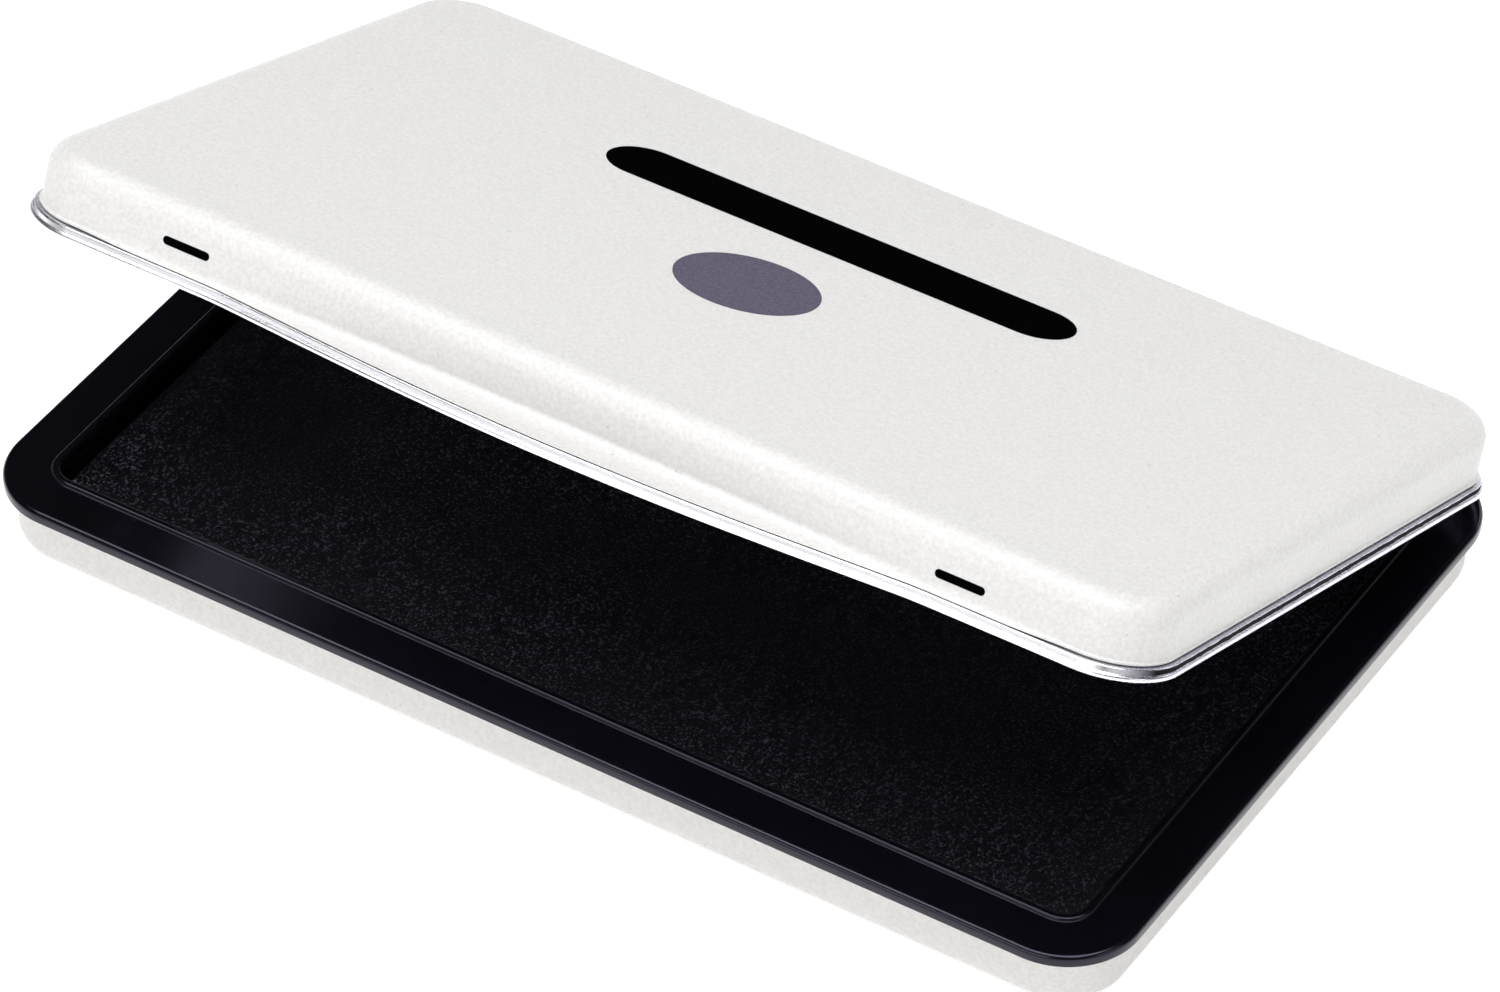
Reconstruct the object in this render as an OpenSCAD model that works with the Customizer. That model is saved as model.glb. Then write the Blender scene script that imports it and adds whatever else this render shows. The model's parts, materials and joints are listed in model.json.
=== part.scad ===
// Ink pad in a hinged metal case.
// The origin is the middle of the pan's underside, +Z is up, +X runs along the
// case to the right and -Y is the front, where the lid opens.

/* [Case] */
// Length of the tray's flange, left to right
case_length = 130; // [110:1:180]
// Depth of the tray's flange, front to back
case_width = 83; // [66:1:120]
// Corner radius of the tray's flange
corner_radius = 8.2; // [6.5:0.1:12]
// Thickness of the enamelled tinplate of the pan and the lid
sheet = 0.3; // [0.25:0.05:0.5]

/* [Base pan] */
// Height from the table to the underside of the tray's flange
pan_height = 6.6; // [5.5:0.1:14]
// How far the pan's wall stands in from the edge of the flange
pan_inset = 1.4; // [1.1:0.1:2.5]
// Outside radius of the pan's bottom edge
pan_edge_radius = 1.6; // [0.8:0.1:2.2]

/* [Ink tray] */
// Thickness of the flat flange
flange_thickness = 1; // [0.8:0.1:1.6]
// Width of the flange, from its outer edge to the pad opening
flange_width = 5.8; // [4.8:0.1:10]
// Height of the outer edge, from the flange's top to the bottom of the skirt
skirt_height = 1.3; // [1.1:0.1:2.5]
// Thickness of the skirt that hides the pan's rim
skirt_wall = 0.6; // [0.4:0.05:0.8]
// Gap between the skirt and the pan's rim
skirt_gap = 0.15; // [0.1:0.05:0.25]
// Radius of the flange's outer top edge
flange_edge_radius = 0.5; // [0.3:0.05:0.6]
// Height of the raised lip round the pad opening
lip_height = 0.35; // [0.3:0.05:0.8]
// Width of the raised lip
lip_width = 0.9; // [0.7:0.05:1]
// Radius along both top edges of the raised lip
lip_edge_radius = 0.3; // [0.2:0.02:0.3]
// Corner radius of the pad opening
opening_radius = 2.6; // [2:0.1:5]
// Thickness of the wall of the well that the pad sits in
well_wall = 1; // [1:0.1:1.5]
// Thickness of the floor of the well
well_floor = 0.8; // [0.6:0.1:1.2]
// Gap between the well and the floor of the pan
well_gap = 0.2; // [0.1:0.05:0.4]

/* [Pad] */
// Depth of the inked face below the top of the flange
pad_depth = 1.8; // [1.2:0.1:2]
// Gap between the cloth and the wall of the well
pad_gap = 0.4; // [0.2:0.1:0.8]
// Radius of the pad's top edge
pad_edge_radius = 1; // [0.6:0.1:1.2]
// Thickness of the cloth
cloth = 0.35; // [0.2:0.05:0.45]
// Width of the cloth that is folded under the backing
cloth_hem = 6; // [4:0.5:12]
// Thickness of the stiff sheet that the cloth is folded round
backing_thickness = 0.6; // [0.4:0.1:0.8]
// Thickness of the fine felt under the cloth
top_felt_thickness = 1.2; // [1:0.1:1.4]

/* [Lid] */
// How far the lid's rim stands in from the edge of the tray's flange
rim_inset = 0.5; // [0:0.1:0.8]
// Height of the lid, from the bottom of its rim to its top
lid_height = 7.8; // [6.8:0.1:16]
// Outside radius of the lid's top edge
lid_edge_radius = 2.4; // [1.6:0.1:2.8]
// How far the painted wall stands in from the edge of the rim
lid_wall_inset = 1; // [0.8:0.1:2]
// Thickness of the bare tinplate of the liner
liner_sheet = 0.25; // [0.2:0.05:0.4]
// Gap between the painted shell and the liner inside it
liner_gap = 0.05; // [0.02:0.01:0.3]
// Height of the rolled hem round the rim
hem_height = 1.3; // [1:0.1:2]
// Width of the rolled hem
hem_width = 0.6; // [0.5:0.05:0.8]
// How far the painted sheet stops short of the edge of the hem
seam_inset = 0.15; // [0.1:0.05:0.4]
// Length of the thumb lip along the front of the rim
thumb_length = 80; // [50:1:90]
// How far the thumb lip stands out at its middle
thumb_depth = 3; // [1.5:0.1:4]
// Gap between the rim of the closed lid and the flange
closing_gap = 0.15; // [0.1:0.05:0.4]

/* [Hinge] */
// Opening angle of the lid at rest
rest_angle = 21.5; // [0:0.5:100]
// Distance between the middles of the two hinges
hinge_spacing = 76; // [40:1:80]
// Length of one hinge along its pin
hinge_length = 16; // [12:0.5:24]
// Length of the lid's knuckle
lid_knuckle = 6; // [4:0.5:8]
// Gap between neighbouring knuckles
knuckle_gap = 0.2; // [0.1:0.05:0.4]
// Thickness of the leaves
leaf_sheet = 0.4; // [0.3:0.05:0.5]
// Height of the leaf that is welded to the wall
weld_height = 3.2; // [2:0.1:3.2]
// Distance from the back edge of the case to the axis of the pins
pin_offset = 1.5; // [1.4:0.1:2.5]
// Radius of the pins
pin_radius = 0.6; // [0.4:0.05:0.65]
// Radial clearance of the pins in the lid's knuckles
pin_clearance = 0.05; // [0.02:0.01:0.1]
// Radius of the heads at both ends of a pin
head_radius = 0.95; // [0.8:0.05:1.1]
// Thickness of the heads
head_thickness = 0.35; // [0.2:0.05:0.6]
// Gap between a leaf's step and the rim or skirt that it steps round
step_gap = 0.35; // [0.2:0.05:0.6]

/* [Hidden] */
$fn = 64;

// Tray and well
flange_top = pan_height + flange_thickness;
skirt_bottom = flange_top - skirt_height;
opening_length = case_length - 2 * flange_width;
opening_width = case_width - 2 * flange_width;
well_bottom = sheet + well_gap;
well_top = well_bottom + well_floor;

// Pan
pan_length = case_length - 2 * pan_inset;
pan_width = case_width - 2 * pan_inset;
pan_radius = corner_radius - pan_inset;
pan_rim = pan_inset - skirt_wall - skirt_gap;

// Pad, from the well's floor up
pad_length = opening_length - 2 * pad_gap;
pad_width = opening_width - 2 * pad_gap;
pad_radius = opening_radius - pad_gap;
pad_top = flange_top - pad_depth;
core_length = pad_length - 2 * cloth;
core_width = pad_width - 2 * cloth;
core_radius = pad_radius - cloth;
core_edge_radius = pad_edge_radius - cloth;
backing_bottom = well_top + cloth;
felt_bottom = backing_bottom + backing_thickness;
top_felt_bottom = pad_top - cloth - top_felt_thickness;

// Lid, measured from the bottom of its rim
rim_length = case_length - 2 * rim_inset;
rim_width = case_width - 2 * rim_inset;
rim_radius = corner_radius - rim_inset;
lid_wall_length = rim_length - 2 * lid_wall_inset;
lid_wall_width = rim_width - 2 * lid_wall_inset;
lid_wall_radius = rim_radius - lid_wall_inset;
liner_step = sheet + liner_gap;
liner_inset = lid_wall_inset + liner_step;
thumb_radius = (pow(thumb_length / 2, 2) + pow(thumb_depth, 2)) / (2 * thumb_depth);

// Hinge
axis_y = case_width / 2 + pin_offset;
axis_z = flange_top + closing_gap / 2;
lid_z = flange_top + closing_gap;
knuckle_radius = pin_radius + pin_clearance + leaf_sheet;
knuckle_tuck = 0.05;
plate_front = axis_y - knuckle_radius + knuckle_tuck;
neck_height = knuckle_radius + step_gap;
base_knuckle = (hinge_length - lid_knuckle - 2 * knuckle_gap) / 2;
lid_step = lid_z + hem_height + sheet + step_gap;
base_step = skirt_bottom - step_gap - leaf_sheet;

// ---- Shared shapes ----

// A rectangle with round corners about the origin
module rounded_rectangle(length, width, radius) {
    square([length - 2 * radius, width], center = true);
    square([length, width - 2 * radius], center = true);
    for (x = [-1, 1], y = [-1, 1])
        translate([x * (length / 2 - radius), y * (width / 2 - radius)])
            circle(radius);
}

// Sweeps a profile round a rounded rectangle. The profile's x is the distance
// out from the rectangle's edge and its y is the height.
module swept(length, width, radius) {
    corner_x = length / 2 - radius;
    corner_y = width / 2 - radius;
    for (turn = [0, 180]) rotate(turn) {
        translate([corner_x, 0, 0])
            rotate([90, 0, 0])
            linear_extrude(2 * corner_y, center = true)
            translate([radius, 0]) children();
        rotate(90)
            translate([corner_y, 0, 0])
            rotate([90, 0, 0])
            linear_extrude(2 * corner_x, center = true)
            translate([radius, 0]) children();
        translate([corner_x, corner_y, 0])
            rotate_extrude(angle = 90)
            translate([radius, 0]) children();
        translate([-corner_x, corner_y, 0])
            rotate(90)
            rotate_extrude(angle = 90)
            translate([radius, 0]) children();
    }
}

// The flat plate inside a round edge that is swept round a rounded rectangle
module plate_inside(length, width, radius, edge_radius, bottom, thickness) {
    translate([0, 0, bottom])
        linear_extrude(thickness)
        rounded_rectangle(length - 2 * edge_radius, width - 2 * edge_radius, radius - edge_radius);
}

// A quarter of a ring, its centre on the origin, between +X and +Y
module quarter_ring(outer, thickness) {
    intersection() {
        difference() {
            circle(outer);
            circle(outer - thickness);
        }
        square(outer);
    }
}

// The profile of the wall and the round edge of a cup that stands open end down
module wall_profile(edge_radius, thickness, bottom, top) {
    translate([-thickness, bottom])
        square([thickness, top - edge_radius - bottom]);
    translate([-edge_radius, top - edge_radius])
        quarter_ring(edge_radius, thickness);
}

// A drawn cup that stands open end down: wall, round edge and flat top
module cup(length, width, radius, edge_radius, thickness, bottom, top) {
    swept(length, width, radius)
        wall_profile(edge_radius, thickness, bottom, top);
    plate_inside(length, width, radius, edge_radius, top - thickness, thickness);
}

// ---- Base ----

module base_pan() {
    color("gainsboro") {
        swept(pan_length, pan_width, pan_radius) {
            translate([0, pan_height])
                mirror([0, 1])
                wall_profile(pan_edge_radius, sheet, 0, pan_height);
            translate([0, pan_height - sheet])
                square([pan_rim, sheet]);
        }
        plate_inside(pan_length, pan_width, pan_radius, pan_edge_radius, 0, sheet);
    }
}

// The flange's round outer edge and the skirt under it
module skirt_profile() {
    translate([-skirt_wall, skirt_bottom])
        square([skirt_wall, skirt_height - flange_edge_radius]);
    translate([-skirt_wall, flange_top - flange_edge_radius])
        square([skirt_wall - flange_edge_radius, flange_edge_radius]);
    translate([-flange_edge_radius, flange_top - flange_edge_radius])
        intersection() {
            circle(flange_edge_radius);
            square(flange_edge_radius);
        }
}

// The wall of the well with the raised lip on top, out from the pad opening
module well_profile() {
    translate([0, well_bottom])
        square([well_wall, flange_top - well_bottom]);
    translate([0, flange_top])
        square([lip_width, lip_height - lip_edge_radius]);
    translate([lip_edge_radius, flange_top])
        square([lip_width - 2 * lip_edge_radius, lip_height]);
    for (x = [lip_edge_radius, lip_width - lip_edge_radius])
        translate([x, flange_top + lip_height - lip_edge_radius])
            circle(lip_edge_radius);
}

module ink_tray() {
    color("#17151d") {
        swept(case_length, case_width, corner_radius) skirt_profile();
        swept(opening_length, opening_width, opening_radius) well_profile();
        translate([0, 0, pan_height])
            linear_extrude(flange_thickness)
            difference() {
                rounded_rectangle(case_length - 2 * skirt_wall, case_width - 2 * skirt_wall,
                    corner_radius - skirt_wall);
                rounded_rectangle(opening_length + 2 * well_wall, opening_width + 2 * well_wall,
                    opening_radius + well_wall);
            }
        translate([0, 0, well_bottom])
            linear_extrude(well_floor)
            rounded_rectangle(opening_length, opening_width, opening_radius);
    }
}

module pad_backing() {
    color("#4a3f35")
        translate([0, 0, backing_bottom])
        linear_extrude(backing_thickness)
        rounded_rectangle(core_length, core_width, core_radius);
}

module reservoir_felt() {
    color("#241f2c")
        translate([0, 0, felt_bottom])
        linear_extrude(top_felt_bottom - felt_bottom)
        rounded_rectangle(core_length, core_width, core_radius);
}

module top_felt() {
    straight = top_felt_thickness - core_edge_radius;
    color("#1d1925")
        translate([0, 0, top_felt_bottom]) {
            swept(core_length, core_width, core_radius) {
                translate([-core_edge_radius, 0])
                    square([core_edge_radius, straight]);
                translate([-core_edge_radius, straight])
                    intersection() {
                        circle(core_edge_radius);
                        square(core_edge_radius);
                    }
            }
            plate_inside(core_length, core_width, core_radius, core_edge_radius,
                0, top_felt_thickness);
        }
}

module pad_cover() {
    color("#26222e") {
        cup(pad_length, pad_width, pad_radius, pad_edge_radius, cloth, well_top, pad_top);
        translate([0, 0, well_top])
            linear_extrude(cloth)
            difference() {
                rounded_rectangle(core_length, core_width, core_radius);
                square([pad_length - 2 * cloth_hem, pad_width - 2 * cloth_hem], center = true);
            }
    }
}

// ---- Hinges ----

// A round piece along the hinge's axis, its middle at x
module along_axis(x, length, radius) {
    translate([x, axis_y, axis_z])
        rotate([0, 90, 0])
        cylinder(h = length, r = radius, center = true);
}

// A flat stretch of a leaf, centred at x = 0
module plate(width, y, depth, z, height) {
    translate([-width / 2, y, z])
        cube([width, depth, height]);
}

// The pan's leaf: two knuckles that grip the pin, a neck under each, a step in
// below the skirt and the tab that is welded to the pan's wall
module base_leaf() {
    wall_y = pan_width / 2;
    plate_back = plate_front + leaf_sheet;
    neck_bottom = axis_z - neck_height;
    knuckle_x = (hinge_length - base_knuckle) / 2;
    color("silver") {
        for (side = [-1, 1])
            difference() {
                union() {
                    along_axis(side * knuckle_x, base_knuckle, knuckle_radius);
                    translate([side * knuckle_x, 0, 0])
                        plate(base_knuckle, plate_front, leaf_sheet, neck_bottom, neck_height);
                }
                along_axis(side * knuckle_x, base_knuckle + 1, pin_radius);
            }
        plate(hinge_length, plate_front, leaf_sheet, base_step, neck_bottom - base_step);
        plate(hinge_length, wall_y, plate_back - wall_y, base_step, leaf_sheet);
        plate(hinge_length, wall_y, leaf_sheet, base_step - weld_height, weld_height);
    }
}

// The lid's leaf on the closed lid: one knuckle that turns on the pin, a neck
// above it, a step in over the rim and the tab that is welded to the lid's wall
module lid_leaf() {
    wall_y = lid_wall_width / 2;
    plate_back = plate_front + leaf_sheet;
    neck_top = axis_z + neck_height;
    color("silver") {
        difference() {
            union() {
                along_axis(0, lid_knuckle, knuckle_radius);
                plate(lid_knuckle, plate_front, leaf_sheet, axis_z, neck_height);
            }
            along_axis(0, lid_knuckle + 1, pin_radius + pin_clearance);
        }
        plate(hinge_length, plate_front, leaf_sheet, neck_top, lid_step + leaf_sheet - neck_top);
        plate(hinge_length, wall_y, plate_back - wall_y, lid_step, leaf_sheet);
        plate(hinge_length, wall_y, leaf_sheet, lid_step + leaf_sheet, weld_height);
    }
}

module hinge_pin() {
    color("gray") {
        along_axis(0, hinge_length, pin_radius);
        for (side = [-1, 1])
            along_axis(side * (hinge_length + head_thickness) / 2, head_thickness, head_radius);
    }
}

// Places a part of one hinge: side is -1 on the left and 1 on the right
module at_hinge(side) {
    translate([side * hinge_spacing / 2, 0, 0]) children();
}

// Turns a part of the closed lid about the pins to its place at rest
module opened() {
    translate([0, axis_y, axis_z])
        rotate([-rest_angle, 0, 0])
        translate([0, -axis_y, -axis_z]) children();
}

// ---- Lid ----

// The outline of the rim with its thumb lip, drawn in by an inset
module rim_outline(inset) {
    front = -rim_width / 2;
    root = lid_wall_inset + sheet;
    rounded_rectangle(rim_length - 2 * inset, rim_width - 2 * inset, rim_radius - inset);
    intersection() {
        translate([0, front - thumb_depth + thumb_radius])
            circle(thumb_radius - inset, $fn = 720);
        translate([-thumb_length, front - thumb_depth])
            square([2 * thumb_length, thumb_depth + root]);
    }
}

module lid_shell() {
    color("#e2e4e0")
        opened()
        translate([0, 0, lid_z]) {
            cup(lid_wall_length, lid_wall_width, lid_wall_radius, lid_edge_radius, sheet,
                hem_height, lid_height);
            translate([0, 0, hem_height])
                linear_extrude(sheet)
                difference() {
                    rim_outline(seam_inset);
                    rounded_rectangle(lid_wall_length, lid_wall_width, lid_wall_radius);
                }
        }
}

module lid_liner() {
    length = rim_length - 2 * liner_inset;
    width = rim_width - 2 * liner_inset;
    radius = rim_radius - liner_inset;
    edge_radius = lid_edge_radius - liner_step;
    top = lid_height - liner_step;
    flange = hem_height - liner_sheet;
    color("#b9b9c2")
        opened()
        translate([0, 0, lid_z]) {
            cup(length, width, radius, edge_radius, liner_sheet, flange, top);
            translate([0, 0, flange])
                linear_extrude(liner_sheet)
                difference() {
                    rim_outline(hem_width);
                    rounded_rectangle(length, width, radius);
                }
            linear_extrude(hem_height)
                difference() {
                    rim_outline(0);
                    rim_outline(hem_width);
                }
        }
}

base_pan();
ink_tray();
pad_backing();
reservoir_felt();
top_felt();
pad_cover();
at_hinge(-1) base_leaf();  // base_leaf_left
at_hinge(1) base_leaf();  // base_leaf_right
at_hinge(-1) hinge_pin();  // hinge_pin_left
at_hinge(1) hinge_pin();  // hinge_pin_right
lid_shell();
lid_liner();
opened() at_hinge(-1) lid_leaf();  // lid_leaf_left
opened() at_hinge(1) lid_leaf();  // lid_leaf_right
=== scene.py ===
import json
import math

import bmesh
import bpy
from mathutils import Matrix, Vector


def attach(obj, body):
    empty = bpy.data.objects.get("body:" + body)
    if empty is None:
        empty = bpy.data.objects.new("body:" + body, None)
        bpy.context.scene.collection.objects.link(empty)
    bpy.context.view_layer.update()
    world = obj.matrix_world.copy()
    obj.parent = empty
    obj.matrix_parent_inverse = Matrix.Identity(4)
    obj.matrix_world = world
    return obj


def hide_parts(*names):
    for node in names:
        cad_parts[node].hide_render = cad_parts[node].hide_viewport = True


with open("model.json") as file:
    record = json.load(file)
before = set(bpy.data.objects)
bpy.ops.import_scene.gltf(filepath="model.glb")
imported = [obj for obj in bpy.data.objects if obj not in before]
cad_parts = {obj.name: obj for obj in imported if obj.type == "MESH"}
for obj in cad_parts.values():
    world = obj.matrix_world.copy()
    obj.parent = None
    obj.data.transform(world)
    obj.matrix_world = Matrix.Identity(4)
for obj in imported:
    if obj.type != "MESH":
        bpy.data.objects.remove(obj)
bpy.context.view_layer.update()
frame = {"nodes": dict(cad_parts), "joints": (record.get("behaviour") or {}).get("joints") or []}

# An ink pad in a hinged metal case: an enamelled pan, a black tray with the inked cloth,
# and a lid with a bare tinplate liner on two wire pins.
# Shaping is done in millimetres, and settle() turns each finished piece to metres.
MM = 0.001
TURN = math.pi / 2
SMOOTH_ANGLE = math.radians(38)

# The hinge line, and the turn about X that opens the closed lid to its rest, from the
# frame: the joint's axis points to -X, and its lower limit closes the lid
LID_JOINT = frame["joints"][0]
HINGE = Vector(LID_JOINT["pos_m"]) / MM
REST_ANGLE = LID_JOINT["range_deg"][0]
# The hinges' places along the case
HINGE_SIDES = {"left": -38.0, "right": 38.0}

# Sizes in millimetres. The case, the pan and the lid's rim are length, width and corner.
CASE = (130.0, 83.0, 8.2)
PAN = (127.2, 80.2, 6.8)
RIM = (129.0, 82.0, 7.7)
SHEET = 0.3
# The closed lid's lower edge and its top, over the table
LID_Z = 7.75
LID_TOP = LID_Z + 7.8
# The lid's top: the margin round its raised field, how high that stands, and an area in
# square millimetres that only the top's own face passes
TOP_MARGIN = 3.0
TOP_RISE = 0.08
TOP_FACE = 1000
# How far the painted wall stands in from the rim, and how far in its section reaches
WALL_IN = 1.0
WALL_BACK = 1.5
# The hem's height, the painted wall's foot over it, and how deep the hem's section is
HEM = 1.3
FOOT = HEM + 0.12
HEM_BACK = 0.8
# The thumb lip: half its length, how far it stands out, and the power of its curve
LIP_HALF = 40.0
LIP_DEPTH = 3.0
LIP_CURVE = 1.25
# Where the front wall's hollow flare starts, how far it stands out beside the lip, over
# what length it dies out, and the power of its curve
FLARE_TOP = 2.7
FRONT_FLARE = 0.5
FLARE_FADE = 8.0
FLARE_CURVE = 3
# Steps in a corner, and cuts along the front that let it bend out
CORNER_STEPS = 18
FRONT_CUTS = 64
# Steps in a rounded fold, for each millimetre of its radius
ROUND_STEPS = 9
# A tolerance for finding points by their place
NEAR = 1e-3


# ---- Shaping ----

def begin(name, at):
    """Starts a piece as a plane drawn together to one point, in edit mode."""
    bpy.ops.object.select_all(action="DESELECT")
    bpy.ops.mesh.primitive_plane_add(size=1, location=at)
    piece = bpy.context.object
    piece.name = piece.data.name = name
    bpy.ops.object.mode_set(mode="EDIT")
    bpy.ops.mesh.select_mode(type="VERT")
    bpy.ops.mesh.select_all(action="SELECT")
    bpy.ops.mesh.merge(type="CENTER")
    return piece


def pick(piece, kind, test):
    """Selects in edit mode the verts, edges or faces whose place passes the test."""
    bpy.ops.mesh.select_mode(type={"verts": "VERT", "edges": "EDGE", "faces": "FACE"}[kind])
    bpy.ops.mesh.select_all(action="DESELECT")
    mesh = bmesh.from_edit_mesh(piece.data)
    for part in getattr(mesh, kind):
        part.select_set(test(part, middle(piece, part)))
    mesh.select_flush_mode()
    bmesh.update_edit_mesh(piece.data)


def middle(piece, part):
    """The middle of a vertex, edge or face, where it stands."""
    if isinstance(part, bmesh.types.BMVert):
        return piece.matrix_world @ part.co
    points = [v.co for v in part.verts]
    return piece.matrix_world @ (sum(points, Vector()) / len(points))


def push(vector):
    """Extrudes what is selected along a vector."""
    bpy.ops.mesh.extrude_region_move(TRANSFORM_OT_translate={"value": vector})


def draw(piece, path, across, along):
    """Draws a path of (across, along, radius) from its first point, with round corners."""
    across, along = Vector(across), Vector(along)
    points = [across * p[0] + along * p[1] for p in path]
    start = Vector(piece.location)
    for one, two in zip(points, points[1:]):
        push(two - one)
    for k in range(1, len(path) - 1):
        radius = path[k][2]
        if not radius:
            continue
        corner = start + points[k] - points[0]
        turn = (points[k] - points[k - 1]).angle(points[k + 1] - points[k])
        pick(piece, "verts", lambda v, at: (at - corner).length < NEAR)
        bpy.ops.mesh.bevel(offset=radius * math.tan(turn / 2), offset_type="OFFSET",
                           segments=max(3, min(10, round(radius * ROUND_STEPS))),
                           affect="VERTICES")
    bpy.ops.mesh.select_all(action="SELECT")


def round_off(size, front_cuts=1):
    """Sweeps the selected profile round a rectangle with round corners and closes it."""
    length, width, radius = size
    x, y = length / 2 - radius, width / 2 - radius
    runs = (((x, y), (-2 * x, 0), 1), ((-x, y), (0, -2 * y), 1),
            ((-x, -y), (2 * x, 0), front_cuts), ((x, -y), (0, 2 * y), 1))
    for corner, run, cuts in runs:
        bpy.ops.mesh.spin(steps=CORNER_STEPS, angle=-TURN, center=(*corner, 0), axis=(0, 0, 1))
        for _ in range(cuts):
            push((run[0] / cuts, run[1] / cuts, 0))
    close_up()


def close_up():
    """Joins the seam, fills the open ends and turns the faces outwards."""
    bpy.ops.mesh.select_all(action="SELECT")
    bpy.ops.mesh.remove_doubles(threshold=NEAR)
    bpy.ops.mesh.fill_holes(sides=0)
    bpy.ops.mesh.select_all(action="SELECT")
    bpy.ops.mesh.normals_make_consistent(inside=False)


def formed(name, size, z, path, front_cuts=1):
    """A drawn or moulded piece: a profile of (out, up, radius) swept round a rectangle.
    The first number is the distance out from the rectangle's edge, and up is from z."""
    length, width, radius = size
    out, up, _ = path[0]
    piece = begin(name, (length / 2 + out, width / 2 - radius, z + up))
    draw(piece, path, (1, 0, 0), (0, 0, 1))
    round_off(size, front_cuts)
    return piece


def use(piece, kind, **settings):
    """Adds a modifier with its settings and applies it."""
    bpy.ops.object.modifier_add(type=kind)
    modifier = piece.modifiers[-1]
    for key, value in settings.items():
        setattr(modifier, key, value)
    bpy.ops.object.modifier_apply(modifier=modifier.name)


def only(piece):
    """Makes a piece the one that is selected, in object mode."""
    if bpy.context.mode != "OBJECT":
        bpy.ops.object.mode_set(mode="OBJECT")
    bpy.ops.object.select_all(action="DESELECT")
    piece.select_set(True)
    bpy.context.view_layer.objects.active = piece


def settle(piece, body, material, replaces=(), even=True):
    """Puts a finished piece's place into its mesh, in metres, shades it and rides it on a
    body. What belongs to the lid is modelled with the lid closed and turned open here."""
    only(piece)
    bpy.ops.object.transform_apply(location=True, rotation=True, scale=True)
    place = Matrix.Scale(MM, 4)
    if body == "lid":
        opening = Matrix.Rotation(math.radians(REST_ANGLE), 4, "X")
        place = place @ Matrix.Translation(HINGE) @ opening @ Matrix.Translation(-HINGE)
    piece.matrix_world = place
    bpy.ops.object.transform_apply(location=True, rotation=True, scale=True)
    bpy.ops.object.shade_smooth_by_angle(angle=SMOOTH_ANGLE)
    if even:
        use(piece, "WEIGHTED_NORMAL", keep_sharp=True)
    piece.data.materials.clear()
    piece.data.materials.append(material)
    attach(piece, body)
    if replaces:
        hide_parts(*replaces)


# ---- Materials ----

def rgb(code):
    """An sRGB hex colour as linear numbers."""
    def linear(value):
        return value / 12.92 if value <= 0.04045 else ((value + 0.055) / 1.055) ** 2.4
    parts = [int(code[k:k + 2], 16) / 255 for k in (1, 3, 5)]
    return (*[linear(p) for p in parts], 1.0)


def per(size_mm):
    """The scale of a pattern whose repeat is this many millimetres."""
    return 1 / (size_mm * MM)


def add(material, kind, inputs=None, **settings):
    """Adds one node. Inputs are values or another node's output, settings are its own."""
    tree = material.node_tree
    node = tree.nodes.new("ShaderNode" + kind)
    for key, value in settings.items():
        setattr(node, key, value)
    for key, value in (inputs or {}).items():
        if isinstance(value, bpy.types.NodeSocket):
            tree.links.new(value, node.inputs[key])
        else:
            node.inputs[key].default_value = value
    return node


# A Wave texture's bands repeat every 2 pi / 20 of its scale
WAVE_TURN = 0.314
# The sockets of a colour Mix node
FACTOR, LEFT, RIGHT, MIXED = 0, 6, 7, 2


def finish(name, **shader):
    """A material with its surface shader and its place coordinates."""
    material = bpy.data.materials.new(name)
    material.use_nodes = True
    material.node_tree.nodes.clear()
    surface = add(material, "BsdfPrincipled",
                  {key.replace("_", " "): value for key, value in shader.items()})
    output = add(material, "OutputMaterial", {"Surface": surface.outputs["BSDF"]})
    output.location = (300, 0)
    place = add(material, "TexCoord").outputs["Object"]
    return material, surface, place


def feed(material, surface, **inputs):
    """Links patterns into the surface shader."""
    for key, value in inputs.items():
        material.node_tree.links.new(value, surface.inputs[key.replace("_", " ")])


def stoved_enamel(name, light, shade, fleck):
    """White enamel sprayed on tinplate and stoved: a satin film that flows into a faint
    orange peel, with grains of pigment that make it look finely speckled from near."""
    material, surface, place = finish(name, IOR=1.5, Specular_IOR_Level=0.34)
    grain = add(material, "TexNoise", {"Vector": place, "Scale": per(0.42), "Detail": 3.0,
                                       "Roughness": 0.6})
    cloud = add(material, "TexNoise", {"Vector": place, "Scale": per(9.0), "Detail": 2.0})
    spread = add(material, "MapRange", {"Value": grain.outputs["Fac"], "From Min": 0.36,
                                        "From Max": 0.64})
    body = add(material, "Mix", {FACTOR: spread.outputs["Result"], LEFT: rgb(shade),
                                 RIGHT: rgb(light)}, data_type="RGBA")
    # Stray dark grains, about one every 5 mm
    cells = add(material, "TexVoronoi", {"Vector": place, "Scale": per(1.6)})
    near = add(material, "MapRange", {"Value": cells.outputs["Distance"], "From Min": 0.05,
                                      "From Max": 0.12, "To Min": 1.0, "To Max": 0.0})
    lot = add(material, "SeparateColor", {"Color": cells.outputs["Color"]})
    rare = add(material, "Math", {0: lot.outputs["Red"], 1: 0.9}, operation="GREATER_THAN")
    stray = add(material, "Math", {0: near.outputs["Result"], 1: rare.outputs["Value"]},
                operation="MULTIPLY")
    weak = add(material, "Math", {0: stray.outputs["Value"], 1: 0.45}, operation="MULTIPLY")
    colour = add(material, "Mix", {FACTOR: weak.outputs["Value"], LEFT: body.outputs[MIXED],
                                   RIGHT: rgb(fleck)}, data_type="RGBA")
    gloss = add(material, "MapRange", {"Value": cloud.outputs["Fac"], "To Min": 0.36,
                                       "To Max": 0.5})
    peel = add(material, "TexNoise", {"Vector": place, "Scale": per(0.8), "Detail": 2.0})
    relief = add(material, "Bump", {"Height": peel.outputs["Fac"], "Strength": 0.10,
                                    "Distance": 0.00006})
    feed(material, surface, Base_Color=colour.outputs[MIXED],
         Roughness=gloss.outputs["Result"], Normal=relief.outputs["Normal"])
    return material


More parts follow.
